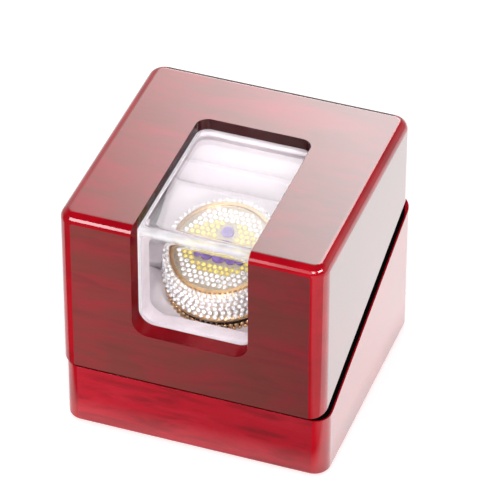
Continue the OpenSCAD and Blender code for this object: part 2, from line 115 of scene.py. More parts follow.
class CaseLooks(bpy.types.PropertyGroup):
    """Finish of the wooden case, its lining, collar and hinges."""

    lid_veneer: colour("Lid veneer", "Brown-red of the lid's flat faces", (0.225, 0.047, 0.042))
    lid_streak: colour("Lid streaks", "Dark streaks in the lid's veneer", (0.150, 0.038, 0.032))
    lid_flame: colour("Lid flames", "Red streaks in the lid's veneer", (0.36, 0.030, 0.046))
    base_veneer: colour("Base veneer", "Red of the base's flat faces", (0.47, 0.012, 0.026))
    base_streak: colour("Base streaks", "Dark streaks in the base's veneer", (0.16, 0.014, 0.018))
    base_flame: colour("Base flames", "Bright streaks in the base's veneer", (0.54, 0.022, 0.040))
    edge_paint: colour("Painted edges", "Red lacquer on the rounded edges", (0.46, 0.003, 0.012))
    # Near-black on the walls of the window's cut above the cover: painted shade of that recess.
    cut_painted_shade: colour("Window's cut", "Painted shade on the cut's walls over the cover", (0.045, 0.004, 0.006))
    edge_round: length("Edge rounding", "Radius on the sharp edges of the case", 0.45)
    lining: colour("Lining", "Pale cloth of the lining", (0.86, 0.77, 0.82))
    collar: colour("Collar", "Black flock of the collar", (0.0022, 0.0016, 0.0016))
    brass: colour("Hinge brass", "Brass of the hinges and screws", (0.70, 0.50, 0.20))


class PadLooks(bpy.types.PropertyGroup):
    """Shape and finish of the two cushions."""

    cloth: colour("Cushion cloth", "Pale cloth of the cushions", (0.90, 0.83, 0.87))
    voxel: length("Voxel", "Grid size of the cushions' mesh", 0.9)
    inset: length("Inset", "How far the cloth starts inside the cushion's solid", 0.7)
    swell: length("Swell", "How far the filling may push the cloth out", 1.0)


class RingLooks(bpy.types.PropertyGroup):
    """Finish of the ring and its stones."""

    gold: colour("Gold", "Gold colour of the ring's metal", (0.86, 0.58, 0.32))
    pale_gold: colour("Pale gold", "Pale metal that the white stones are set in", (0.90, 0.81, 0.72))
    plate: colour("Face plate", "Satin metal between the stones of the face", (0.62, 0.53, 0.42))
    # Near-black on the head's lowest band, behind the beads: painted shade of the openwork there.
    openwork_painted_shade: colour("Openwork shade", "Near-black painted shade behind the beads", (0.035, 0.022, 0.018))
    white_stone: colour("White stones", "Clear stones of the face and flank", (0.97, 0.96, 0.97))
    yellow_stone: colour("Yellow stones", "Yellow stones around the motif", (0.88, 0.76, 0.24))
    enamel: colour("Enamel", "Purple of the motif", (0.22, 0.12, 0.42))
    stone_segments: IntProperty(name="Stone sides", description="Sides of a cut stone",
                                default=8, min=6, max=12)
    stone_r: length("Stone radius", "Radius of a stone", 0.6)
    flank_rows: IntProperty(name="Flank rows", description="Rows of stones on the flank",
                            default=5, min=3, max=5)


class StageLooks(bpy.types.PropertyGroup):
    """Camera, floor and lights."""

    azimuth: FloatProperty(name="Azimuth", description="Camera's turn to the right of the front",
                           default=radians(19.831), subtype="ANGLE", unit="ROTATION")
    elevation: FloatProperty(name="Elevation", description="Camera's height over the floor",
                             default=radians(38.603), subtype="ANGLE", unit="ROTATION")
    distance: length("Distance", "From the camera to the middle of the box", 947.3)
    lens: number("Lens", "Focal length in millimetres on a 36 mm sensor", 288.15, 50, 500)
    shift_right: number("Shift right", "Sideways shift of the frame", 0.0265, -0.2, 0.2)
    shift_up: number("Shift up", "Upward shift of the frame", 0.0456, -0.2, 0.2)
    fill: number("Fill", "Level of the surrounding light", 0.58, 0, 3)
    key: number("Key lamp", "Radiance of the lamp above the front", 1.6, 0, 50)
    view_lamp: number("View lamp", "Radiance of the lamp that looks into the window", 13.5, 0, 50)
    back_lamp: number("Back lamp", "Radiance of the lamp behind the box", 2.0, 0, 50)
    floor_gloss: number("Floor's gloss", "Glow of the floor right of the box, seen in gloss only",
                        1.55, 0, 5)
    front_card_low: number("Front card, right end", "Radiance of the card that the front edge mirrors",
                           2.0, 0, 50)
    front_card_high: number("Front card, left end", "Radiance of the card that the front edge mirrors",
                            13.0, 0, 50)
    corner_card: number("Corner card", "Radiance of the card that the near corner mirrors",
                        22.0, 0, 50)
    back_card_low: number("Back card, low end", "Radiance at the back card's dim end", 1.3, 0, 50)
    back_card_high: number("Back card, high end", "Radiance at the back card's bright end", 8.8, 0, 50)


# ---- material helpers ----------------------------------------------------------------------


class Nodes:
    """The few steps that a node tree is made with."""

    def __init__(self, tree):
        self.tree = tree

    def add(self, kind, inputs=None, **settings):
        """A node of this kind; inputs maps socket names to values or to other nodes' outputs."""
        made = self.tree.nodes.new("ShaderNode" + kind)
        for key, value in settings.items():
            setattr(made, key, value)
        for key, value in (inputs or {}).items():
            self.plug(made.inputs[key], value)
        return made

    def plug(self, socket, value):
        """Links an output to a socket, or sets the socket's own value."""
        if isinstance(value, bpy.types.NodeSocket):
            self.tree.links.new(value, socket)
        elif socket.type == "RGBA":
            socket.default_value = (*value[:3], 1)
        else:
            socket.default_value = value

    def math(self, operation, first, second=0.0):
        """One sum of two numbers."""
        return self.add("Math", {0: first, 1: second}, operation=operation).outputs[0]

    def between(self, value, low, high, start=0.0, end=1.0):
        """A value moved from one range to another, held inside it."""
        made = self.add("MapRange", {"Value": value, "From Min": low, "From Max": high,
                                     "To Min": start, "To Max": end})
        return made.outputs["Result"]

    def along(self, where, centre, direction):
        """How far a place lies from a centre, measured along a direction."""
        moved = self.add("VectorMath", {0: where, 1: centre}, operation="SUBTRACT").outputs["Vector"]
        return self.add("VectorMath", {0: moved, 1: direction}, operation="DOT_PRODUCT").outputs["Value"]


class Recipe(Nodes):
    """A new material, with its main shader."""

    def __init__(self, name):
        self.material = bpy.data.materials.new(name)
        self.material.use_nodes = True
        super().__init__(self.material.node_tree)
        self.shader = self.tree.nodes["Principled BSDF"]
        self.output = self.tree.nodes["Material Output"]

    def surface(self, **values):
        """Sets the main shader's sockets; an underscore in a name stands for a blank."""
        for key, value in values.items():
            self.plug(self.shader.inputs[key.replace("_", " ")], value)

    def place(self, scale):
        """Object coordinates in millimetres, stretched by scale."""
        where = self.add("TexCoord").outputs["Object"]
        stretch = tuple(s / MM for s in scale)
        return self.add("Mapping", {"Vector": where, "Scale": stretch}).outputs["Vector"]

    def noise(self, vector, scale=1.0, detail=4.0, roughness=0.55, distortion=0.0):
        """A noise pattern's strength."""
        made = self.add("TexNoise", {"Vector": vector, "Scale": scale, "Detail": detail,
                                     "Roughness": roughness, "Distortion": distortion})
        return made.outputs["Fac"]

    def mix(self, share, first, second, blend="MIX"):
        """Two colours mixed by a share."""
        made = self.add("Mix", data_type="RGBA", blend_type=blend)
        self.plug(made.inputs[0], share)
        self.plug(made.inputs[6], first)
        self.plug(made.inputs[7], second)
        return made.outputs[2]

    def bump(self, height, distance, strength=1.0):
        """A bump's normal; distance in millimetres."""
        made = self.add("Bump", {"Height": height, "Distance": distance * MM, "Strength": strength})
        return made.outputs["Normal"]


# Where the painted shade on the veneer starts and ends, darkening it towards the right, and how the top
# differs from the upright faces.
LEVEL_FACE = 0.7
LEFT_END, RIGHT_END = -30 * MM, 34 * MM
# How much lighter the top's veneer is painted than the upright faces', at the left and at the right end:
# painted light.
TOP_PAINTED_LIGHT = (1.45, 1.3)
TOP_STREAKS = 0.35

# Noise cells per millimetre along the grain and across it.
BROAD_GRAIN = (0.045, 0.14)
NARROW_GRAIN = (0.060, 0.34)
PORE_GRAIN = (0.22, 3.5)


def veneer(name, ground, streak, flame, streaks, painted_shade_at_right, seed):
    """Wood veneer under clear gloss lacquer, with its grain level on every upright face.

    streaks is the dark streaks' strength, and the next argument is the painted shade: the tone at the right
    end, 1 being that at the left.
    """
    recipe = Recipe(name)
    faces = recipe.add("TexCoord")
    where = recipe.add("SeparateXYZ", {"Vector": faces.outputs["Object"]})
    normal = recipe.add("SeparateXYZ", {"Vector": faces.outputs["Normal"]})
    on_top = recipe.math("GREATER_THAN", recipe.math("ABSOLUTE", normal.outputs["Z"]), LEVEL_FACE)
    across = recipe.add("Mix", {0: on_top, 2: where.outputs["Z"], 3: where.outputs["Y"]}).outputs[0]
    along = recipe.add("Mix", {0: on_top, 2: where.outputs["Y"], 3: 0.0}).outputs[0]
    joined = recipe.add("CombineXYZ", {"X": where.outputs["X"], "Y": along, "Z": across}).outputs[0]

    def stretched(grain, offset):
        lengthwise, crosswise = (v / MM for v in grain)
        scale = (lengthwise, lengthwise, crosswise)
        return recipe.add("Mapping", {"Vector": joined, "Scale": scale,
                                      "Location": (offset, seed, offset + seed)}).outputs["Vector"]

    broad = recipe.noise(stretched(BROAD_GRAIN, 1.3), 1.0, 5.0, 0.62, 0.6)
    narrow = recipe.noise(stretched(NARROW_GRAIN, 4.1), 1.0, 5.0, 0.6, 0.8)
    pores = recipe.noise(stretched(PORE_GRAIN, 7.7), 1.0, 3.0, 0.6)
    body = recipe.mix(recipe.between(broad, 0.42, 0.76), ground, flame)
    quiet = recipe.add("Mix", {0: on_top, 2: 1.0, 3: TOP_STREAKS}).outputs[0]
    narrow_share = recipe.math("MULTIPLY", recipe.between(narrow, 0.48, 0.76, 0.0, streaks), quiet)
    body = recipe.mix(narrow_share, body, streak)
    body = recipe.mix(recipe.between(pores, 0.56, 0.76, 0.0, streaks * 0.35), body, streak)
    # Painted light and shade: the veneer darkens towards the right, and the top is painted lighter than the
    # upright faces.
    upright = recipe.between(where.outputs["X"], LEFT_END, RIGHT_END, 1.0, painted_shade_at_right)
    level = recipe.between(where.outputs["X"], LEFT_END, RIGHT_END, TOP_PAINTED_LIGHT[0], painted_shade_at_right * TOP_PAINTED_LIGHT[1])
    painted_light_and_shade = recipe.add("Mix", {0: on_top, 2: upright, 3: level}).outputs[0]
    painted_light_and_shade_rgb = recipe.add("CombineXYZ", {"X": painted_light_and_shade, "Y": painted_light_and_shade, "Z": painted_light_and_shade}).outputs[0]
    body = recipe.mix(1.0, body, painted_light_and_shade_rgb, "MULTIPLY")
    recipe.surface(Base_Color=body, Roughness=0.5, Specular_IOR_Level=0.0, Coat_Weight=1.0,
                   Coat_Roughness=0.10, Coat_IOR=1.5)
    ripple = recipe.noise(recipe.place((0.05, 0.05, 0.05)), 1.0, 2.0, 0.5)
    recipe.plug(recipe.shader.inputs["Coat Normal"], recipe.bump(ripple, 0.06, 0.25))
    return recipe.material


def edge_lacquer(name, paint, gloss=1.0):
    """Deep red lacquer of the rounded edges and of the window's cut faces."""
    recipe = Recipe(name)
    cloud = recipe.noise(recipe.place((0.12, 0.12, 0.12)), 1.0, 3.0, 0.5)
    shade = tuple(v * 0.72 for v in paint)
    tone = recipe.mix(recipe.between(cloud, 0.35, 0.65), paint, shade)
    recipe.surface(Base_Color=tone, Roughness=0.5, Specular_IOR_Level=0.0, Coat_Weight=gloss,
                   Coat_Roughness=0.06, Coat_IOR=1.5)
    return recipe.material


def leather_cloth(name, tone, grain=1.0):
    """Soft matt leather-like cloth with a fine grain."""
    recipe = Recipe(name)
    cells = recipe.add("TexVoronoi", {"Vector": recipe.place((1.6, 1.6, 1.6)), "Scale": 1.0},
                       feature="SMOOTH_F1").outputs["Distance"]
    soft = recipe.noise(recipe.place((0.35, 0.35, 0.35)), 1.0, 3.0, 0.5)
    shade = tuple(v * 0.90 for v in tone)
    recipe.surface(
        Base_Color=recipe.mix(recipe.between(soft, 0.35, 0.65), tone, shade),
        Roughness=0.55, Sheen_Weight=0.15, Sheen_Roughness=0.5, Specular_IOR_Level=0.35,
        Normal=recipe.bump(cells, 0.05 * grain, 0.6),
    )
    return recipe.material


def flock(name, tone):
    """Short dense pile: dark, without gloss."""
    recipe = Recipe(name)
    pile = recipe.noise(recipe.place((3.0, 3.0, 3.0)), 1.0, 4.0, 0.7)
    lighter = tuple(min(1, v * 1.8) for v in tone)
    recipe.surface(
        Base_Color=recipe.mix(recipe.between(pile, 0.3, 0.7), tone, lighter),
        Roughness=1.0, Specular_IOR_Level=0.0,
        Normal=recipe.bump(pile, 0.12, 0.8),
    )
    return recipe.material


def bare_wood(name, light, dark):
    """Plain sanded board with a straight grain."""
    recipe = Recipe(name)
    grain = recipe.noise(recipe.place((0.04, 0.7, 0.7)), 1.0, 5.0, 0.6, 0.4)
    recipe.surface(
        Base_Color=recipe.mix(recipe.between(grain, 0.35, 0.65), light, dark), Roughness=0.6,
        Normal=recipe.bump(grain, 0.05, 0.5),
    )
    return recipe.material


def card(name, tone):
    """Grey-brown board with flecks."""
    recipe = Recipe(name)
    flecks = recipe.noise(recipe.place((2.0, 2.0, 2.0)), 1.0, 5.0, 0.7)
    dark = tuple(v * 0.7 for v in tone)
    recipe.surface(Base_Color=recipe.mix(recipe.between(flecks, 0.35, 0.7), tone, dark), Roughness=0.85,
                   Normal=recipe.bump(flecks, 0.04, 0.5))
    return recipe.material


def metal(name, tone, roughness, tarnish=0.75, brushed=(0.6, 0.6, 0.6)):
    """Polished metal with a little tarnish and fine wear."""
    recipe = Recipe(name)
    patches = recipe.noise(recipe.place(brushed), 1.0, 5.0, 0.6)
    dull = tuple(v * tarnish for v in tone)
    recipe.surface(
        Base_Color=recipe.mix(recipe.between(patches, 0.4, 0.7), tone, dull), Metallic=1.0,
        Roughness=recipe.between(patches, 0.3, 0.75, roughness * 0.8, roughness * 1.5),
        Normal=recipe.bump(patches, 0.01, 0.4),
    )
    return recipe.material


def stone_gloss(name, light, dark):
    """Cut stones with painted glints: small patches painted light or dark, which differ from stone to stone.
    """
    recipe = Recipe(name)
    cells = recipe.add("TexVoronoi", {"Vector": recipe.place((2.6, 2.6, 2.6)), "Scale": 1.0})
    painted_glints = recipe.add("SeparateXYZ", {"Vector": cells.outputs["Color"]}).outputs["X"]
    recipe.surface(
        Base_Color=recipe.mix(recipe.between(painted_glints, 0.58, 0.86), light, dark), Roughness=0.15,
        IOR=1.7, Coat_Weight=0.5, Coat_Roughness=0.03, Coat_IOR=1.6,
    )
    return recipe.material


# Painted highlights on the cover: how far from the bend its white band reaches, and where the white line
# along each side of the cut starts and ends.
BEND_HIGHLIGHT_REACH = (1.1 * MM, 2.4 * MM)
SIDE_HIGHLIGHT_LINE = (0.5 * MM, 0.25 * MM)


def clear_cover(name, bend, half_cut):
    """Clear polished moulding that lets the light through, with painted highlights of diffuse white at its
    bend and at its sides.

    bend is a point on the outside of the bend, and half_cut is half the width of the window's cut.
    """
    recipe = Recipe(name)
    recipe.surface(Base_Color=(0.985, 0.985, 0.99), Roughness=0.0, IOR=1.42, Transmission_Weight=1.0)
    where = recipe.add("TexCoord").outputs["Object"]
    parts = recipe.add("SeparateXYZ", {"Vector": where}).outputs
    flat = recipe.add("CombineXYZ", {"X": 0.0, "Y": parts["Y"], "Z": parts["Z"]}).outputs[0]
    reach = recipe.add("VectorMath", {0: flat, 1: bend}, operation="DISTANCE").outputs["Value"]
    cloud = recipe.between(recipe.noise(recipe.place((0.25, 0.25, 0.25))), 0.35, 0.65, 0.8, 1.0)
    # Painted highlight: diffuse white mixed in along the bend and along the cut's sides.
    bend_highlight = recipe.math("MULTIPLY", recipe.between(reach, *BEND_HIGHLIGHT_REACH, 0.75, 0.0), cloud)
    off_middle = recipe.math("ABSOLUTE", parts["X"])
    side = recipe.between(off_middle, half_cut - SIDE_HIGHLIGHT_LINE[0], half_cut - SIDE_HIGHLIGHT_LINE[1], 0.0, 0.7)
    white = recipe.add("BsdfDiffuse", {"Color": (0.93, 0.93, 0.95), "Roughness": 0.4})
    share = recipe.math("MAXIMUM", bend_highlight, side)
    painted_highlight = recipe.add("MixShader", {0: share, 1: recipe.shader.outputs[0], 2: white.outputs[0]})
    shadow = recipe.add("LightPath").outputs["Is Shadow Ray"]
    through = recipe.add("BsdfTransparent", {"Color": (0.97, 0.97, 0.98)})
    both = recipe.add("MixShader", {0: shadow, 1: painted_highlight.outputs[0], 2: through.outputs[0]})
    recipe.plug(recipe.output.inputs["Surface"], both.outputs[0])
    return recipe.material


# ---- mesh helpers --------------------------------------------------------------------------


def merged_copy(node):
    """A bmesh of a frame node with its loose triangles joined into whole faces."""
    made = bmesh.new()
    made.from_mesh(frame["nodes"][node].data)
    bmesh.ops.remove_doubles(made, verts=made.verts, dist=0.002 * MM)
    bmesh.ops.dissolve_degenerate(made, edges=made.edges, dist=0.001 * MM)
    bmesh.ops.dissolve_limit(made, angle_limit=radians(0.2), verts=made.verts, edges=made.edges)
    return made


def rounded(mesh, width, segments=2):
    """Rounds the edges of a bmesh where two faces meet at more than the sharp angle."""
    sharp = [e for e in mesh.edges if len(e.link_faces) == 2 and e.calc_face_angle(0) > SHARP]
    bmesh.ops.bevel(mesh, geom=sharp, offset=width, offset_type="OFFSET", segments=segments,
                    profile=0.5, affect="EDGES", clamp_overlap=True, material=-1)


def as_piece(mesh, name, body, materials, stands_for, smooth=True):
    """Turns a bmesh into a piece that rides on a body and stands for frame nodes."""
    bmesh.ops.recalc_face_normals(mesh, faces=mesh.faces)
    data = bpy.data.meshes.new(name)
    mesh.to_mesh(data)
    mesh.free()
    piece = bpy.data.objects.new(name, data)
    bpy.context.scene.collection.objects.link(piece)
    for material in materials:
        data.materials.append(material)
    if smooth:
        data.shade_smooth()
        data.set_sharp_from_angle(angle=SHARP)
        flat_faces = piece.modifiers.new("Flat faces stay flat", "WEIGHTED_NORMAL")
        flat_faces.keep_sharp = True
        flat_faces.weight = 80
    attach(piece, body)
    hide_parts(*stands_for)
    return piece


def body_of(node):
    """The name of the body that a frame node belongs to."""
    return frame["nodes"][node]["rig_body"]


def dressed(node, material, width=0.0, segments=2):
    """A piece made from a frame node, with its edges eased, that stands for the node."""
    mesh = merged_copy(node)
    if width:
        rounded(mesh, width, segments)
    return as_piece(mesh, "look_" + node, body_of(node), [material], [node])


def painted(node, material):
    """Gives a frame node a material and leaves its shape alone."""
    for place in frame["nodes"][node].material_slots:
        place.material = material


# ---- case ----------------------------------------------------------------------------------


# The shells' materials, in the order of their slots.
VENEER, PAINT, CLOTH, SHADED_CUT, SHADED_SATIN_CUT = range(5)

# A face is veneered if it turns no more than this from an outer side, and lies this near to it.
VENEER_TURN = cos(radians(6))
VENEER_REACH = 0.1 * MM

# Just less than the shells' wall and top, so that their inner faces lie beyond.
INSIDE_WALL = 4.3 * MM
INSIDE_TOP = 2.9 * MM

# How far the cover reaches past the window's cut, and the room in which the cut's walls are looked for.
COVER_LAP = 3 * MM
COVER_EDGE = 3 * MM
CUT_MARGIN = 0.1 * MM
CUT_RISE = 4 * MM
LINED = 0.3 * MM


def shell(node, name, face_material, edge_material, inside_material, width):
    """A wooden shell: veneer on its flat outer faces, cloth in its hollow, paint on the other faces."""
    low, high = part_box(node)
    hollow_low = low + Vector((INSIDE_WALL, INSIDE_WALL, 0))
    hollow_high = high - Vector((INSIDE_WALL, INSIDE_WALL, INSIDE_TOP))
    mesh = merged_copy(node)
    rounded(mesh, width, 3)
    bmesh.ops.recalc_face_normals(mesh, faces=mesh.faces)
    for face in mesh.faces:
        middle = face.calc_center_median()
        axis = max(range(3), key=lambda k: abs(face.normal[k]))
        side = high[axis] - middle[axis] if face.normal[axis] > 0 else middle[axis] - low[axis]
        veneered = abs(face.normal[axis]) > VENEER_TURN and side < VENEER_REACH
        inside = all(hollow_low[k] < v.co[k] < hollow_high[k] for v in face.verts for k in range(3))
        face.material_index = VENEER if veneered else CLOTH if inside else PAINT
    materials = [face_material, edge_material, inside_material]
    return as_piece(mesh, name, body_of(node), materials, [node])


def paint_cut(piece, dark, satin):
    """Gives the walls of the window's cut their own paint, as painted shade: near-black over the cover, and
    half-dark satin red before it.
    """
    low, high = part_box("window_cover")
    half = high.x - COVER_LAP
    sill = low.z + COVER_LAP
    for paint in (dark, satin):
        piece.data.materials.append(paint)
    mesh = bmesh.new()
    mesh.from_mesh(piece.data)

    def in_cut(face):
        middle = face.calc_center_median()
        top = max(v.co.z for v in face.verts)
        return abs(middle.x) < half + CUT_MARGIN and middle.z > sill - CUT_MARGIN and top < high.z + CUT_RISE

    def cut_faces():
        return [face for face in mesh.faces if face.material_index == PAINT and in_cut(face)]

    cut = {part for face in cut_faces() for part in (face, *face.edges, *face.verts)}
    bmesh.ops.bisect_plane(mesh, geom=list(cut), plane_co=(0, low.y, 0), plane_no=(0, 1, 0))
    for face in cut_faces():
        middle = face.calc_center_median()
        if middle.y > low.y and min(v.co.z for v in face.verts) > high.z - COVER_EDGE:
            face.material_index = SHADED_CUT
        elif middle.y < low.y:
            face.material_index = SHADED_SATIN_CUT
    mesh.to_mesh(piece.data)
    mesh.free()


def line_inside(collar, cloth):
    """Covers the collar's upstand, which is seen through the window, with the lining's cloth."""
    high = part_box("lid_lining_top")[1]
    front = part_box("window_cover")[0].y + LINED
    collar.data.materials.append(cloth)
    for face in collar.data.polygons:
        middle = face.center
        if abs(middle.x) < high.x - LINED and front < middle.y < high.y - LINED:
            face.material_index = 1


class RINGBOX_OT_case(bpy.types.Operator):
    """Dress the lid's and the base's wooden shells in veneer and lacquer"""

    bl_idname = "ringbox.case"
    bl_label = "Wooden case"

    def execute(self, context):
        looks = context.scene.ringbox_case
        edges = edge_lacquer("red_edge_lacquer", looks.edge_paint)
        # The last but one number of each veneer, 0.60 and 0.72, is its painted shade at the right end.
        lid = veneer("lid_veneer", looks.lid_veneer, looks.lid_streak, looks.lid_flame, 0.60, 0.60, 2.0)
        base = veneer("base_veneer", looks.base_veneer, looks.base_streak, looks.base_flame, 0.85, 0.72, 9.0)
        inside = leather_cloth("hollow_cloth", looks.lining)
        lid_piece = shell("lid_shell", "look_lid_shell", lid, edges, inside, looks.edge_round)
        # Painted shade on the cut's walls: near-black above the cover, and the edge red at half its lightness
        # before it.
        paint_cut(lid_piece, edge_lacquer("shaded_dark_cut_lacquer", looks.cut_painted_shade, 0.5),
                  edge_lacquer("shaded_satin_cut_lacquer", tuple(v * 0.5 for v in looks.edge_paint), 0.15))
        shell("base_shell", "look_base_shell", base, edges, inside, looks.edge_round)
        boards = bare_wood("plain_board", (0.42, 0.26, 0.14), (0.30, 0.17, 0.09))
        for node in ("base_floor", "bearer_left", "bearer_right"):
            dressed(node, boards, 0.15 * MM)
        dressed("cushion_board", card("pad_card", (0.62, 0.55, 0.43)), 0.1 * MM)
        dressed("base_felt", flock("base_felt_pile", (0.020, 0.016, 0.016)))
        collar = dressed("rim_collar", flock("collar_pile", looks.collar), 0.2 * MM)
        line_inside(collar, inside)
        return {"FINISHED"}


class RINGBOX_OT_window(bpy.types.Operator):
    """Make the clear L-shaped window cover"""

    bl_idname = "ringbox.window"
    bl_label = "Window cover"

    def execute(self, context):
        low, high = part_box("window_cover")
        bend = (0, low.y, high.z)
        dressed("window_cover", clear_cover("clear_moulding", bend, high.x - COVER_LAP), 0.12 * MM)
        return {"FINISHED"}


class RINGBOX_OT_lining(bpy.types.Operator):
    """Cover the lining boards and the two padded window frames with cloth"""

    bl_idname = "ringbox.lining"
    bl_label = "Lining"

    def execute(self, context):
        cloth = leather_cloth("lining_cloth", context.scene.ringbox_case.lining)
        for node in ("lid_lining_top", "lid_lining_front"):
            dressed(node, cloth, 0.9 * MM, 4)
        boards = ["lid_lining_left", "lid_lining_right", "lid_lining_back", "base_lining_front",
                  "base_lining_back", "base_lining_left", "base_lining_right"]
        for node in boards:
            dressed(node, cloth, 0.5 * MM, 3)
        return {"FINISHED"}


class RINGBOX_OT_hinges(bpy.types.Operator):
    """Give the hinge leaves, pins and screws their metal"""

    bl_idname = "ringbox.hinges"
    bl_label = "Hinges"

    def execute(self, context):
        brass = metal("hinge_brass_look", context.scene.ringbox_case.brass, 0.22, 0.7, (0.3, 2.0, 2.0))
        steel = metal("pin_steel_look", (0.56, 0.56, 0.57), 0.25)
        for side in ("left", "right"):
            dressed("lid_hinge_leaf_" + side, brass, 0.08 * MM)
            dressed("base_hinge_leaf_" + side, brass, 0.08 * MM)
        dressed("lid_hinge_screws", brass)
        dressed("base_hinge_screws", brass)
        dressed("hinge_pins", steel)
        return {"FINISHED"}


# ---- cushions ------------------------------------------------------------------------------


# The simulation runs on an enlarged copy, because so small a cloth barely moves at its real size.
SIM_SCALE = 10.0
SIM_PRESSURE = 4.0
SIM_STEPS = 20


def evaluated_mesh(piece):
    """The piece's mesh with its modifiers applied."""
    graph = bpy.context.evaluated_depsgraph_get()
    return bpy.data.meshes.new_from_object(piece.evaluated_get(graph), depsgraph=graph)


def shrunk_grid(node, looks):
    """A cushion's solid as an even grid, enlarged for the simulation and drawn in on all sides."""
    mesh = merged_copy(node)
    bmesh.ops.scale(mesh, vec=Vector((SIM_SCALE,) * 3), verts=mesh.verts)
    bmesh.ops.recalc_face_normals(mesh, faces=mesh.faces)
    name = "look_" + node
    data = bpy.data.meshes.new(name)
    mesh.to_mesh(data)
    mesh.free()
    piece = bpy.data.objects.new(name, data)
    bpy.context.scene.collection.objects.link(piece)
    remesh = piece.modifiers.new("Grid", "REMESH")
    remesh.mode = "VOXEL"
    remesh.voxel_size = looks.voxel * SIM_SCALE
    piece.data = evaluated_mesh(piece)
    piece.modifiers.clear()

    body = bmesh.new()
    body.from_mesh(piece.data)
    bmesh.ops.smooth_vert(body, verts=body.verts, factor=0.5, use_axis_x=True, use_axis_y=True,
                          use_axis_z=True)
    body.normal_update()
    for vertex in body.verts:
        vertex.co -= vertex.normal * looks.inset * SIM_SCALE
    body.to_mesh(piece.data)
    body.free()
    return piece


def blow_up(piece):
    """Fills the piece by a cloth simulation and keeps its result as the mesh."""
    cloth = piece.modifiers.new("Filling", "CLOTH")
    cloth.settings.use_pressure = True
    cloth.settings.uniform_pressure_force = SIM_PRESSURE
    cloth.settings.tension_stiffness = 10
    cloth.settings.compression_stiffness = 10
    cloth.settings.bending_stiffness = 0.5
    cloth.settings.effector_weights.gravity = 0
    scene = bpy.context.scene
    for step in range(1, SIM_STEPS + 1):
        scene.frame_set(step)
    swollen = evaluated_mesh(piece)
    piece.modifiers.clear()
    piece.data = swollen
    scene.frame_set(1)


def stuffed(node, looks, material):
    """A cushion blown up by a cloth simulation from a slightly smaller copy of its solid."""
    piece = shrunk_grid(node, looks)
    start = [v.co.copy() for v in piece.data.vertices]
    blow_up(piece)
    limit = (looks.inset + looks.swell) * SIM_SCALE
    for vertex, before in zip(piece.data.vertices, start):
        push = vertex.co - before
        if push.length > limit:
            push *= limit / push.length
        vertex.co = (before + push) / SIM_SCALE
    finer = piece.modifiers.new("Fine cloth", "SUBSURF")
    finer.levels = finer.render_levels = 1
    piece.data.materials.clear()
    piece.data.materials.append(material)
    piece.data.shade_smooth()
    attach(piece, body_of(node))
    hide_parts(node)


class RINGBOX_OT_cushions(bpy.types.Operator):
    """Blow up the two cushions that hold the ring"""

    bl_idname = "ringbox.cushions"
    bl_label = "Cushions"

    def execute(self, context):
        looks = context.scene.ringbox_pad
        cloth = leather_cloth("cushion_cloth_look", looks.cloth, 1.3)
        for node in ("cushion_front", "cushion_rear"):
            stuffed(node, looks, cloth)
        return {"FINISHED"}


# ---- ring ----------------------------------------------------------------------------------


# The head, as in the solids: heights are measured from the face.
HEAD_R = 13.4 * MM
FACE_H = 0.6 * MM
FLANK_H = 7.0 * MM
FLARE = 1.1 * MM
BEZEL_R = 12.3 * MM
BEZEL_MIDDLE = -0.15 * MM
PLATE_TOP = -0.3 * MM
# Depths below the face at which the head's pale gold, its gold rim and its painted shade behind the beads
# end.
HEAD_BANDS = (7.55 * MM, 8.28 * MM, 20 * MM)

# The face's field of stones, the room left for the motif, and the oval of yellow stones.
FIELD_R = 10.75 * MM
AROUND_MOTIF = (7.0 * MM, 2.5 * MM)
MOTIF_DROP = 2.1 * MM
DISC_Y = 3.9 * MM
AROUND_DISC = 2.3 * MM
YELLOW = (9.6 * MM, 7.0 * MM)

# The stones: their height, the gaps between them, and how far the flank's are set askew.
FACE_STONE = 0.5 * MM
FIELD_GAP = 0.2 * MM
FLANK_GAP = 0.25 * MM
STRAY = 0.16
TIP = 0.20
# Darker copies of the stones' colours, for the patches of each stone painted in shade: painted glints beside
# the lit patches.
SHADED_WHITE_STONE = (0.60, 0.58, 0.61)
SHADED_YELLOW_STONE = (0.66, 0.48, 0.12)


def ring_frame():
    """The ring's own frame: its origin in the middle of the face, z square to it."""
    low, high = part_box("ring_bezel")
    normal = Vector((0, -sin(PARTING_TILT), cos(PARTING_TILT)))
    middle = (low + high) / 2
    return Matrix.Translation(middle - normal * BEZEL_MIDDLE) @ Matrix.Rotation(PARTING_TILT, 4, "X")


def cut_stone(mesh, place, radius, height, sides):
    """One brilliant-like stone: a girdle, sloping crown facets and a flat table."""
    girdle = height * 0.3
    crown = height - girdle
    bmesh.ops.create_cone(mesh, cap_ends=True, segments=sides, radius1=radius * 0.9, radius2=radius,
                          depth=girdle, matrix=place @ Matrix.Translation((0, 0, girdle / 2)))
    bmesh.ops.create_cone(mesh, cap_ends=True, segments=sides, radius1=radius, radius2=radius * 0.5,
                          depth=crown, matrix=place @ Matrix.Translation((0, 0, girdle + crown / 2)))


def round_places(path, count, height):
    """Places evenly spaced on a circle, z up."""
    for i in range(count):
        angle = 2 * pi * i / count
        yield Matrix.Rotation(angle, 4, "Z") @ Matrix.Translation((path, 0, height))


def in_oval(x, y, axes):
    """How far a point lies out from the middle of an oval: 1 on the oval itself."""
    return hypot(x / axes[0], y / axes[1])


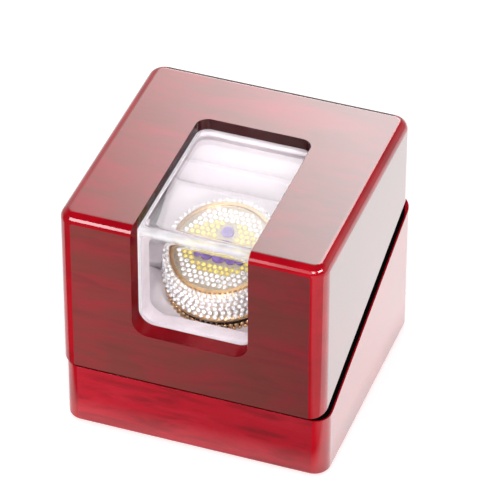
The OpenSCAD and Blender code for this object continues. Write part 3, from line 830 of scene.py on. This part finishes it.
def field_places(stone_r, yellow):
    """The staggered places of the face's stones: yellow around the motif, white outside."""
    pitch = 2 * stone_r + FIELD_GAP
    rows = ceil(FIELD_R / pitch) + 2
    for row in range(-rows, rows + 1):
        for i in range(-rows, rows + 1):
            x = (i + (0.5 if row % 2 else 0)) * pitch
            y = row * pitch * sin(radians(60))
            off_row = in_oval(x, y + MOTIF_DROP, AROUND_MOTIF) > 1
            off_disc = hypot(x, y - DISC_Y) > AROUND_DISC
            golden = in_oval(x, y, YELLOW) < 1
            if hypot(x, y) < FIELD_R and off_row and off_disc and golden == yellow:
                yield Matrix.Translation((x, y, PLATE_TOP)) @ Matrix.Rotation(x * 9000 + y * 5000, 4, "Z")


def flank_places(stone_r, rows):
    """The places of the stones on the head's sloping flank, each facing outwards and a little askew."""
    lean = asin(FLARE / hypot(FLARE, FLANK_H))
    first = stone_r + 0.05 * MM
    step = (hypot(FLARE, FLANK_H) - 2 * first) / (rows - 1)
    count = int(2 * pi * HEAD_R / (2 * stone_r + FLANK_GAP))
    for row in range(rows):
        down = Matrix.Translation((first + row * step, 0, 0.02 * MM))
        for i in range(count):
            stray = STRAY * sin(12.9 * i + 78.2 * row)
            turn = Matrix.Rotation(2 * pi * (i + row / 2 + stray) / count, 4, "Z")
            edge = turn @ Matrix.Translation((HEAD_R, 0, -FACE_H))
            tip = Matrix.Rotation(TIP * sin(37.7 * i + 11.3 * row), 4, "X")
            yield edge @ Matrix.Rotation(pi / 2 - lean, 4, "Y") @ down @ tip


def by_depth(piece, frame_matrix, bands):
    """Gives each face the first material whose depth below the ring's face it doesn't reach."""
    inverse = frame_matrix.inverted()
    for face in piece.data.polygons:
        depth = -(inverse @ face.center).z
        for index, limit in enumerate(bands):
            if depth < limit:
                face.material_index = index
                break


class RINGBOX_OT_ring_metal(bpy.types.Operator):
    """Give the ring's band, head, bezel, face and beads their metal"""

    bl_idname = "ringbox.ring_metal"
    bl_label = "Ring metal"

    def execute(self, context):
        looks = context.scene.ringbox_ring
        gold = metal("ring_gold_look", looks.gold, 0.2, 0.8)
        pale = metal("ring_pale_gold", looks.pale_gold, 0.45, 0.7, (1.5, 1.5, 1.5))
        # The head's lowest band gets the near-black painted shade of the openwork behind the beads.
        dark = metal("ring_openwork_painted_shade", looks.openwork_painted_shade, 0.5, 0.6, (2.0, 2.0, 2.0))
        dressed("ring_band", gold, 0.35 * MM, 3)
        head = dressed("ring_head", pale, 0.08 * MM)
        for each in (gold, dark):
            head.data.materials.append(each)
        by_depth(head, ring_frame(), HEAD_BANDS)
        dressed("ring_bezel", gold, 0.12 * MM)
        painted("ring_beads", gold)
        dressed("ring_face", metal("ring_plate_look", looks.plate, 0.4, 0.7, (2.0, 2.0, 2.0)))
        enamel = Recipe("motif_enamel")
        cloud = enamel.noise(enamel.place((0.8, 0.8, 0.8)), 1.0, 3.0)
        deep = tuple(v * 0.6 for v in looks.enamel)
        enamel.surface(Base_Color=enamel.mix(enamel.between(cloud, 0.4, 0.6), looks.enamel, deep),
                       Roughness=0.15, Coat_Weight=0.8, Coat_Roughness=0.03)
        dressed("ring_rosette", enamel.material, 0.06 * MM)
        return {"FINISHED"}


class RINGBOX_OT_ring_stones(bpy.types.Operator):
    """Set the cut stones of the ring's face, rim and flank"""

    bl_idname = "ringbox.ring_stones"
    bl_label = "Ring stones"

    def execute(self, context):
        looks = context.scene.ringbox_ring
        # Each stone's colour is mixed with its darker copy in small patches: painted glints.
        clear = stone_gloss("clear_stones", looks.white_stone, SHADED_WHITE_STONE)
        yellow = stone_gloss("yellow_stones", looks.yellow_stone, SHADED_YELLOW_STONE)
        place = ring_frame()
        sides = looks.stone_segments
        radius = looks.stone_r

        mesh = bmesh.new()
        for spot in field_places(radius, False):
            cut_stone(mesh, place @ spot, radius, FACE_STONE, sides)
        halo_path = (BEZEL_R + HEAD_R) / 2
        halo_r = (HEAD_R - BEZEL_R) / 2 - 0.02 * MM
        halo_count = int(2 * pi * halo_path / (2 * halo_r + FIELD_GAP))
        for spot in round_places(halo_path, halo_count, -FACE_H):
            cut_stone(mesh, place @ spot, halo_r, FACE_H, sides)
        for spot in flank_places(radius, looks.flank_rows):
            cut_stone(mesh, place @ spot, radius, FACE_H, sides)
        as_piece(mesh, "look_ring_white_stones", "base", [clear], ["ring_white_stones"],
                 smooth=False)

        mesh = bmesh.new()
        for spot in field_places(radius, True):
            cut_stone(mesh, place @ spot, radius, FACE_STONE, sides)
        as_piece(mesh, "look_ring_yellow_stones", "base", [yellow], ["ring_yellow_stones"],
                 smooth=False)
        return {"FINISHED"}


# ---- stage ---------------------------------------------------------------------------------


# Directions from the box to the lamps and cards, and the way the back card grows brighter.
KEY_FROM = (-0.35, -0.80, 0.55)
VIEW_FROM = (0.26, -0.75, 0.52)
FRONT_CARD_FROM = (-0.265, -0.838, 0.478)
CORNER_CARD_FROM = (0.75, -0.28, 0.58)
BACK_CARD_RISE = (0.841, 0.491, -0.224)

# The floor's own glow, and the strips of floor over which its mirrored glow changes.
FLOOR_GLOW = 0.42
FRONT_STRIP = (-40 * MM, -34 * MM)
RIGHT_STRIP = (28 * MM, 36 * MM)
CORNER_STRIP = (34 * MM, 45 * MM)

CAMERA_AIM = (0, -1 * MM, 31.64 * MM)


def soft_box(name, direction, distance, width, height, radiance, aim):
    """A rectangular lamp that faces aim from a direction."""
    lamp = bpy.data.lights.new(name, "AREA")
    lamp.shape = "RECTANGLE"
    lamp.size = width
    lamp.size_y = height
    lamp.energy = radiance * pi * width * height
    holder = bpy.data.objects.new(name, lamp)
    bpy.context.scene.collection.objects.link(holder)
    toward = Vector(direction).normalized()
    holder.location = Vector(aim) + toward * distance
    holder.rotation_euler = toward.to_track_quat("Z", "Y").to_euler()


def reflector(name, centre, facing, width, height, low, high, uphill, reach):
    """A glowing card that is seen in gloss only, brighter towards uphill."""
    mesh = bmesh.new()
    turn = Vector(facing).to_track_quat("Z", "Y").to_matrix().to_4x4()
    place = Matrix.Translation(centre) @ turn @ Matrix.Diagonal((width / 2, height / 2, 1, 1))
    bmesh.ops.create_grid(mesh, x_segments=1, y_segments=1, size=1, matrix=place)
    data = bpy.data.meshes.new(name)
    mesh.to_mesh(data)
    mesh.free()
    card_piece = bpy.data.objects.new(name, data)
    bpy.context.scene.collection.objects.link(card_piece)
    recipe = Recipe(name)
    where = recipe.add("TexCoord").outputs["Object"]
    rise = recipe.along(where, tuple(centre), tuple(Vector(uphill).normalized()))
    recipe.surface(Base_Color=(0, 0, 0), Specular_IOR_Level=0.0, Emission_Color=(1, 1, 1),
                   Emission_Strength=recipe.between(rise, -reach, reach, low, high))
    data.materials.append(recipe.material)
    card_piece.visible_camera = False
    card_piece.visible_diffuse = False
    card_piece.visible_transmission = False
    card_piece.visible_shadow = False


def surroundings(fill):
    """White all round for the camera; for gloss white at the back and dark in front."""
    world = bpy.data.worlds.new("studio")
    world.use_nodes = True
    world.node_tree.nodes.clear()
    nodes = Nodes(world.node_tree)
    path = nodes.add("LightPath").outputs
    direction = nodes.add("SeparateXYZ", {"Vector": nodes.add("TexCoord").outputs["Generated"]}).outputs
    backwards = nodes.between(direction["Z"], 0.35, 0.75, 1.0, 0.03)
    backwards = nodes.math("MULTIPLY", backwards, nodes.between(direction["Y"], -0.1, 0.4, 0.06, 1.0))
    seen = nodes.math("MAXIMUM", path["Is Camera Ray"], path["Is Transmission Ray"])
    level = nodes.add("Mix", {0: path["Is Glossy Ray"], 2: fill, 3: backwards}).outputs[0]
    level = nodes.add("Mix", {0: seen, 2: level, 3: 1.0}).outputs[0]
    sky = nodes.add("Background", {"Color": (1, 1, 1), "Strength": level})
    nodes.add("OutputWorld", {"Surface": sky.outputs[0]})
    return world


def white_floor(looks):
    """A white floor that keeps the box's shadow; in gloss it is dark in front and bright at the right."""
    mesh = bmesh.new()
    bmesh.ops.create_circle(mesh, cap_ends=True, segments=64, radius=4.0,
                            matrix=Matrix.Translation((0, 0, -0.1 * MM)))
    data = bpy.data.meshes.new("floor")
    mesh.to_mesh(data)
    mesh.free()
    floor_piece = bpy.data.objects.new("floor", data)
    bpy.context.scene.collection.objects.link(floor_piece)
    recipe = Recipe("white_floor")
    path = recipe.add("LightPath").outputs
    where = recipe.add("SeparateXYZ", {"Vector": recipe.add("TexCoord").outputs["Object"]}).outputs
    dark = recipe.between(where["Y"], *FRONT_STRIP, 1.0, 0.0)
    bright = recipe.between(where["X"], *RIGHT_STRIP, 0.5, looks.floor_gloss)
    corner = recipe.between(where["X"], *CORNER_STRIP, 0.0, 0.8)
    gloss = recipe.add("Mix", {0: dark, 2: bright, 3: corner}).outputs[0]
    seen = recipe.math("MAXIMUM", path["Is Camera Ray"], path["Is Transmission Ray"])
    plain = recipe.math("MULTIPLY", seen, FLOOR_GLOW)
    glow = recipe.add("Mix", {0: path["Is Glossy Ray"], 2: plain, 3: gloss}).outputs[0]
    mirrored = recipe.math("MULTIPLY", dark, path["Is Glossy Ray"])
    tone = recipe.mix(mirrored, (0.86, 0.86, 0.86), (0.12, 0.10, 0.10))
    recipe.surface(Base_Color=tone, Roughness=0.9, Specular_IOR_Level=0.0, Emission_Color=(1, 1, 1),
                   Emission_Strength=glow)
    data.materials.append(recipe.material)


class RINGBOX_OT_stage(bpy.types.Operator):
    """Set up the floor, the surrounding light, the lamps and the camera"""

    bl_idname = "ringbox.stage"
    bl_label = "Stage"

    def execute(self, context):
        looks = context.scene.ringbox_stage
        scene = context.scene
        scene.view_settings.view_transform = "Standard"
        scene.world = surroundings(looks.fill)
        white_floor(looks)

        flat = cos(looks.elevation)
        toward = Vector((sin(looks.azimuth) * flat, -cos(looks.azimuth) * flat, sin(looks.elevation)))
        top = Vector((0, 0, CAD_BOX[1][2]))
        mirrored = Vector((-toward.x, -toward.y, toward.z))
        soft_box("key_lamp", KEY_FROM, 1.1, 0.45, 0.45, looks.key, top)
        soft_box("view_lamp", VIEW_FROM, 1.1, 0.4, 0.4, looks.view_lamp, top)
        soft_box("back_lamp", mirrored, 1.2, 0.5, 0.5, looks.back_lamp, top)
        reflector("back_card", top + mirrored * 1.1, -mirrored, 0.9, 0.7,
                  looks.back_card_low, looks.back_card_high, BACK_CARD_RISE, 0.08)
        edge = Vector((0, CAD_BOX[0][1], CAD_BOX[1][2]))
        before = Vector(FRONT_CARD_FROM).normalized()
        reflector("front_card", edge + before * 0.3, -before, 0.30, 0.15, looks.front_card_low,
                  looks.front_card_high, (-1, 0, 0), 0.03)
        corner = Vector((CAD_BOX[1][0], CAD_BOX[0][1], CAD_BOX[1][2]))
        beside = Vector(CORNER_CARD_FROM).normalized()
        reflector("corner_card", corner + beside * 0.5, -beside, 0.30, 0.16, looks.corner_card,
                  looks.corner_card, (1, 0, 0), 1.0)

        camera = bpy.data.cameras.new("camera")
        camera.lens = looks.lens
        camera.sensor_width = 36.0
        camera.sensor_fit = "HORIZONTAL"
        camera.shift_x = looks.shift_right
        camera.shift_y = looks.shift_up
        camera.clip_end = 20
        holder = bpy.data.objects.new("camera", camera)
        scene.collection.objects.link(holder)
        holder.location = Vector(CAMERA_AIM) + toward * looks.distance
        holder.rotation_euler = toward.to_track_quat("Z", "Y").to_euler()
        scene.camera = holder
        return {"FINISHED"}


# ---- sidebar and registration --------------------------------------------------------------

STEPS = [RINGBOX_OT_case, RINGBOX_OT_window, RINGBOX_OT_lining, RINGBOX_OT_hinges,
         RINGBOX_OT_cushions, RINGBOX_OT_ring_metal, RINGBOX_OT_ring_stones, RINGBOX_OT_stage]
GROUPS = {"ringbox_case": CaseLooks, "ringbox_pad": PadLooks, "ringbox_ring": RingLooks,
          "ringbox_stage": StageLooks}


class RINGBOX_PT_sidebar(bpy.types.Panel):
    """Lists the steps that dress the ring box"""

    bl_label = "Ring Box"
    bl_space_type = "VIEW_3D"
    bl_region_type = "UI"
    bl_category = "Ring Box"

    def draw(self, context):
        for step in STEPS:
            self.layout.operator(step.bl_idname)
        for name, group in GROUPS.items():
            box = self.layout.box()
            for key in group.__annotations__:
                box.prop(getattr(context.scene, name), key)


def register():
    for each in (*GROUPS.values(), *STEPS, RINGBOX_PT_sidebar):
        bpy.utils.register_class(each)
    for name, group in GROUPS.items():
        setattr(bpy.types.Scene, name, PointerProperty(type=group))


def unregister():
    for name in GROUPS:
        delattr(bpy.types.Scene, name)
    for each in (RINGBOX_PT_sidebar, *reversed(STEPS), *reversed(GROUPS.values())):
        bpy.utils.unregister_class(each)


def main():
    """Registers the add-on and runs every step."""
    register()
    for step in STEPS:
        group, name = step.bl_idname.split(".")
        getattr(getattr(bpy.ops, group), name)()


if __name__ == "__main__":
    main()
